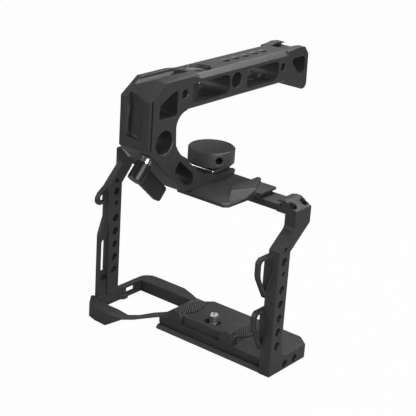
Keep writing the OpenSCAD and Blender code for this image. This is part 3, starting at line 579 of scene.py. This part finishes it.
def soft_copy(context, name, nodes, least=3.0, radius=None, wary=False):
    """A copy of some nodes with broken edges, which stands for them."""
    look, _, _ = settings(context)
    bm = united(nodes, context.scene) if len(nodes) > 1 else welded(nodes[0])
    soften(bm, radius or look.edge_radius, look.edge_segments, least, wary)
    made = piece_from(bm, name, context, SLOT_OF[nodes[0]], BODY_OF[nodes[0]])
    smooth(made)
    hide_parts(*nodes)
    return made


class CAGE_OT_frame(Operator):
    """Break the outer edges of the machined cage frame"""

    bl_idname = "cage.frame"
    bl_label = "Soften the cage frame"

    def execute(self, context):
        soft_copy(context, "cage_frame_soft", FRAME_NODES)
        return {"FINISHED"}


class CAGE_OT_handle(Operator):
    """Break the outer edges of the top handle"""

    bl_idname = "cage.handle"
    bl_label = "Soften the handle"

    def execute(self, context):
        soft_copy(context, "handle_soft", HANDLE_NODES, wary=True)
        return {"FINISHED"}


LEVER_ROUNDING = 2.5
CUT_LOW = 0.2
CUT_HIGH = 0.9


class CAGE_OT_clamps(Operator):
    """Break the edges of the clamp plate, the disc knob and the lock lever"""

    bl_idname = "cage.clamps"
    bl_label = "Soften the clamps"

    def execute(self, context):
        look, _, _ = settings(context)
        plate = soft_copy(context, "clamp_plate_soft", ("clamp_plate",), radius=look.plate_chamfer)
        plate.data.materials.append(finish_for(context, "bright_steel"))
        for face in plate.data.polygons:
            if CUT_LOW < face.normal.z < CUT_HIGH:
                face.material_index = 1
        soft_copy(context, "clamp_knob_soft", ("clamp_knob",), least=2.0)
        soft_copy(context, "lock_lever_soft", ("lock_lever",), radius=look.edge_radius * LEVER_ROUNDING)
        return {"FINISHED"}


# Threads

RING_LAP = 0.01 * MM
RING_WALL = 0.03 * MM
CREST_START = 0.45
CREST_END = 0.55
HOLES_IN_ROW = 5
FOOT_THREAD_LENGTH = 7.4 * MM
SLOPE_THREAD_LENGTH = 4.3 * MM
GRIP_THREAD_TOP = 0.6 * MM
GRIP_THREAD_LENGTH = 4.3 * MM
LARGE_THREAD_MIDDLE = 3.85 * MM
LARGE_THREAD_LENGTH = 2 * MM


def turned_ring(context, name, body, profile, centre, axis):
    """A closed ring spun about an axis from its outline in radius and height."""
    _, cut, _ = settings(context)
    bm = bmesh.new()
    corners = [bm.verts.new((r, 0, h)) for r, h in profile]
    edges = [bm.edges.new(pair) for pair in zip(corners, corners[1:] + corners[:1])]
    bmesh.ops.spin(bm, geom=corners + edges, axis=(0, 0, 1), cent=(0, 0, 0), angle=math.tau,
                   steps=cut.around, use_merge=True, use_duplicate=False)
    turn = Vector(axis).to_track_quat("Z", "Y").to_matrix().to_4x4()
    bm.transform(Matrix.Translation(centre) @ turn)
    slot = "handle_black" if body == HANDLE_BODY else "frame_black"
    return piece_from(bm, name, context, slot, body)


def thread_outline(radius, length, pitch, depth):
    """Saw-toothed inner side and plain outer side of a thread ring, centred on height 0."""
    turns = max(1, round(length / pitch))
    step = length / turns
    root = radius + RING_LAP
    outer = radius + RING_WALL
    inner = []
    for i in range(turns):
        low = -length / 2 + i * step
        inner += [(root, low), (radius - depth, low + step * CREST_START),
                  (radius - depth, low + step * CREST_END)]
    inner.append((root, length / 2))
    return inner + [(outer, length / 2), (outer, -length / 2)]


def place_of(mount):
    """Middle of a mount."""
    return Vector(MOUNTS[mount]["pos_m"])


def size_of(mount, key):
    """One of a mount's sizes."""
    return MOUNTS[mount]["dims"][key] * MM


def row_steps(mount):
    """Distances of a row's holes from its middle, from the pattern of its inner pair."""
    pitch = size_of(mount, "spacing_y_mm") / 2
    return [pitch * (i - HOLES_IN_ROW // 2) for i in range(HOLES_IN_ROW)]


def frame_holes():
    """Threaded holes of the frame: name, middle, axis, radius and thread length."""
    across = (1, 0, 0)
    rows = []
    for side in ("right", "left"):
        middle = side + "_column_middle_hole"
        size = size_of(middle, "r_mm"), size_of(middle, "length_mm")
        for i, away in enumerate(row_steps(side + "_column_inner_holes")):
            rows.append((f"{side}_thread_{i + 1}", place_of(middle) + Vector((0, 0, away)), across, *size))
        rows.append((f"{side}_thread_{HOLES_IN_ROW + 1}", place_of(side + "_upper_hole"), across, *size))
    foot = "base_side_holes"
    half = size_of(foot, "spacing_x_mm") / 2
    for i in (-1, 1):
        rows.append((f"foot_thread_{i + 2}", place_of(foot) + Vector((0, half * i, 0)), across,
                     size_of(foot, "hole_r_mm"), FOOT_THREAD_LENGTH))
    for end in ("front", "rear"):
        mount = "slope_hole_" + end
        rows.append((end + "_slope_thread", place_of(mount), MOUNTS[mount]["axis"],
                     size_of(mount, "r_mm"), SLOPE_THREAD_LENGTH))
    return rows


def handle_holes():
    """Threaded holes of the handle: name, middle, axis, radius and thread length."""
    up = (0, 0, 1)
    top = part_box("handle_grip")[1].z
    middle = place_of("handle_top_middle_hole")
    radius = size_of("handle_top_middle_hole", "r_mm")
    rows = []
    for i, away in enumerate(row_steps("handle_top_inner_holes")):
        place = Vector((middle.x, middle.y + away, top - GRIP_THREAD_TOP - GRIP_THREAD_LENGTH / 2))
        rows.append((f"handle_thread_{i + 1}", place, up, radius, GRIP_THREAD_LENGTH))
    large = place_of("handle_large_top_hole")
    rows.append(("handle_large_thread", Vector((large.x, large.y, top - LARGE_THREAD_MIDDLE)), up,
                 size_of("handle_large_top_hole", "r_mm"), LARGE_THREAD_LENGTH))
    for end in ("front", "rear"):
        mount = "handle_" + end + "_side_hole"
        rows.append((end + "_side_thread", place_of(mount), MOUNTS[mount]["axis"],
                     size_of(mount, "r_mm"), size_of(mount, "length_mm")))
    return rows


class CAGE_OT_threads(Operator):
    """Cut the threads of the accessory holes"""

    bl_idname = "cage.threads"
    bl_label = "Thread the accessory holes"

    def execute(self, context):
        _, cut, _ = settings(context)
        for body, holes in ((CAGE_BODY, frame_holes()), (HANDLE_BODY, handle_holes())):
            for name, centre, axis, radius, length in holes:
                outline = thread_outline(radius, length, cut.quarter_pitch, cut.thread_depth)
                made = turned_ring(context, name, body, outline, centre, axis)
                # The threads wear the near-black painted shade of the holes
                dress(made, finish_for(context, "thread_black"))
        return {"FINISHED"}


SCREW_FOOT = 0.25 * MM
SCREW_ENDS = 0.3 * MM
SCREW_ROOT_DEPTH = 0.55 * MM
SCREW_WALL = 0.1 * MM
SAME_HEIGHT = 0.001 * MM


class CAGE_OT_camera_screw(Operator):
    """Cut the thread of the camera screw into a copy of its CAD solid"""

    bl_idname = "cage.camera_screw"
    bl_label = "Thread the camera screw"

    def execute(self, context):
        look, cut, _ = settings(context)
        crest = size_of("camera_screw", "r_mm")
        root = crest - SCREW_ROOT_DEPTH
        step = cut.quarter_pitch / 2
        steps = int((size_of("camera_screw", "length_mm") - SCREW_ENDS) / step) + 1
        heights = [SCREW_FOOT + i * step for i in range(steps)]
        bm = welded("camera_screw")
        bmesh.ops.dissolve_limit(bm, angle_limit=FLAT_ANGLE, verts=bm.verts, edges=bm.edges)
        for height in heights:
            bmesh.ops.bisect_plane(bm, geom=bm.verts[:] + bm.edges[:] + bm.faces[:], dist=TINY,
                                   plane_co=(0, 0, height), plane_no=(0, 0, 1))
        for vert in bm.verts:
            away = math.hypot(vert.co.x, vert.co.y)
            at_root = any(abs(vert.co.z - height) < SAME_HEIGHT for height in heights[1::2])
            if away > crest - SCREW_WALL and at_root:
                vert.co.x *= root / away
                vert.co.y *= root / away
        made = piece_from(bm, "camera_screw_threaded", context, "bright_steel", BODY_OF["camera_screw"])
        # The threaded steel paints shade into the roots of the thread
        dress(made, steel("finish_threaded_steel", look.steel_colour, THREADED_STEEL_ROUGHNESS,
                          (cut.quarter_pitch, SCREW_FOOT)))
        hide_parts("camera_screw")
        return {"FINISHED"}


class CAGE_OT_finishes(Operator):
    """Give every CAD node the procedural finish of its material slot"""

    bl_idname = "cage.finishes"
    bl_label = "Finish the machined parts"

    def execute(self, context):
        for name, made in frame["nodes"].items():
            dress(made, finish_for(context, SLOT_OF[name]))
        return {"FINISHED"}


# Stage

FLOOR_GAP = 0.2 * MM
FLOOR_GLOW = 0.98
FLOOR_GLOSS = 0.05
WHITE = (1, 1, 1, 1)

# Place, size and the property that holds the power of each lamp
LAMPS = {
    "key_lamp": ((-0.75, -1.2, 0.75), 0.9, "key_power"),
    "fill_lamp": ((1.0, -0.45, 0.5), 0.8, "fill_power"),
    "top_lamp": ((0.0, 0.2, 0.56), 0.45, "top_power"),
}


class CAGE_OT_stage(Operator):
    """Make the floor, the lamps, the world and the camera"""

    bl_idname = "cage.stage"
    bl_label = "Set the stage"

    def execute(self, context):
        _, _, stage = settings(context)
        scene = context.scene
        scene.view_settings.view_transform = "Standard"
        low, high = CAD_BOX
        bm = bmesh.new()
        bmesh.ops.create_grid(bm, x_segments=1, y_segments=1, size=stage.floor_size / 2)
        bmesh.ops.translate(bm, vec=(0, 0, low.z - FLOOR_GAP), verts=bm.verts)
        floor = object_from(bm, "floor", scene.collection)
        dress(floor, pale_floor(stage.floor_colour))
        white_world(scene, stage.world_level)
        for name, (place, size, power) in LAMPS.items():
            light = bpy.data.lights.new(name, "AREA")
            light.shape = "SQUARE"
            light.size = size
            light.energy = getattr(stage, power)
            lamp = bpy.data.objects.new(name, light)
            scene.collection.objects.link(lamp)
            lamp.location = place
            aim = (low + high) / 2 - Vector(place)
            lamp.rotation_euler = aim.to_track_quat("-Z", "Y").to_euler()
        scene.camera = photo_camera(scene, stage.lens)
        return {"FINISHED"}


def ray_masks(tree):
    """Masks of the rays that show something straight to the camera, and of glossy rays."""
    seen = node(tree, "ShaderNodeLightPath").outputs
    direct = math_node(tree, "MAXIMUM", seen["Is Camera Ray"], seen["Is Transmission Ray"])
    return direct, seen["Is Glossy Ray"]


def blended(tree, share, first, second, end):
    """Feeds an end socket with two shaders mixed by a share."""
    mix = node(tree, "ShaderNodeMixShader")
    tree.links.new(share, mix.inputs["Fac"])
    tree.links.new(first.outputs[0], mix.inputs[1])
    tree.links.new(second.outputs[0], mix.inputs[2])
    tree.links.new(mix.outputs[0], end)


def pale_floor(colour):
    """Floor that looks near white to the camera and keeps the object's shadow."""
    made = bpy.data.materials.new("pale_floor")
    made.use_nodes = True
    tree = made.node_tree
    tree.nodes.remove(tree.nodes["Principled BSDF"])
    matte = node(tree, "ShaderNodeBsdfDiffuse", inputs={"Color": tuple(colour) + (1,)})
    glow = node(tree, "ShaderNodeEmission")
    direct, glossy = ray_masks(tree)
    share = math_node(tree, "MAXIMUM", math_node(tree, "MULTIPLY", direct, FLOOR_GLOW),
                      math_node(tree, "MULTIPLY", glossy, FLOOR_GLOSS))
    blended(tree, share, matte, glow, tree.nodes["Material Output"].inputs["Surface"])
    return made


def white_world(scene, level):
    """World that lights the object evenly and shows white to the camera."""
    world = bpy.data.worlds.new("studio")
    world.use_nodes = True
    scene.world = world
    tree = world.node_tree
    plain = tree.nodes["Background"]
    plain.inputs["Color"].default_value = WHITE
    plain.inputs["Strength"].default_value = level
    white = node(tree, "ShaderNodeBackground", inputs={"Color": WHITE, "Strength": 1.0})
    direct, _ = ray_masks(tree)
    blended(tree, direct, plain, white, tree.nodes["World Output"].inputs["Surface"])


CAMERA_PLACE = Vector((0.4614, -0.6125, 0.3815))
CAMERA_AZIMUTH = math.radians(37.676)
CAMERA_ELEVATION = math.radians(21.194)
CAMERA_ROLL = math.radians(3.846)
SENSOR_WIDTH = 36
NEAREST = 0.01
FARTHEST = 50


def photo_camera(scene, lens):
    """Camera at the photograph's place, angle and roll."""
    data = bpy.data.cameras.new("photo_camera")
    data.lens = lens
    data.sensor_width = SENSOR_WIDTH
    data.clip_start = NEAREST
    data.clip_end = FARTHEST
    made = bpy.data.objects.new("photo_camera", data)
    scene.collection.objects.link(made)
    back = Vector((math.sin(CAMERA_AZIMUTH) * math.cos(CAMERA_ELEVATION),
                   -math.cos(CAMERA_AZIMUTH) * math.cos(CAMERA_ELEVATION), math.sin(CAMERA_ELEVATION)))
    right = Vector((math.cos(CAMERA_AZIMUTH), math.sin(CAMERA_AZIMUTH), 0))
    up = back.cross(right)
    rolled_right = right * math.cos(CAMERA_ROLL) + up * math.sin(CAMERA_ROLL)
    rolled_up = up * math.cos(CAMERA_ROLL) - right * math.sin(CAMERA_ROLL)
    turn = Matrix((rolled_right, rolled_up, back)).transposed().to_4x4()
    made.matrix_world = Matrix.Translation(CAMERA_PLACE) @ turn
    return made


class CAGE_PT_panel(Panel):
    """Lists the steps and their values"""

    bl_idname = "CAGE_PT_panel"
    bl_label = "Camera cage"
    bl_space_type = "VIEW_3D"
    bl_region_type = "UI"
    bl_category = "Cage"

    def draw(self, context):
        layout = self.layout
        for group in settings(context):
            box = layout.box()
            for key in group.bl_rna.properties.keys():
                if key not in ("rna_type", "name"):
                    box.prop(group, key)
        for step in STEPS:
            layout.operator(step.bl_idname)


STEPS = (CAGE_OT_finishes, CAGE_OT_frame, CAGE_OT_handle, CAGE_OT_clamps, CAGE_OT_threads,
         CAGE_OT_camera_screw, CAGE_OT_stage)
GROUPS = (CageFinish, CageThreads, CageStage)


def register():
    for group in GROUPS:
        bpy.utils.register_class(group)
    bpy.types.Scene.cage_finish = PointerProperty(type=CageFinish)
    bpy.types.Scene.cage_threads = PointerProperty(type=CageThreads)
    bpy.types.Scene.cage_stage = PointerProperty(type=CageStage)
    for step in STEPS:
        bpy.utils.register_class(step)
    bpy.utils.register_class(CAGE_PT_panel)


def unregister():
    bpy.utils.unregister_class(CAGE_PT_panel)
    for step in reversed(STEPS):
        bpy.utils.unregister_class(step)
    del bpy.types.Scene.cage_stage
    del bpy.types.Scene.cage_threads
    del bpy.types.Scene.cage_finish
    for group in reversed(GROUPS):
        bpy.utils.unregister_class(group)


def main():
    register()
    for step in STEPS:
        area, name = step.bl_idname.split(".")
        getattr(getattr(bpy.ops, area), name)()


if __name__ == "__main__":
    main()
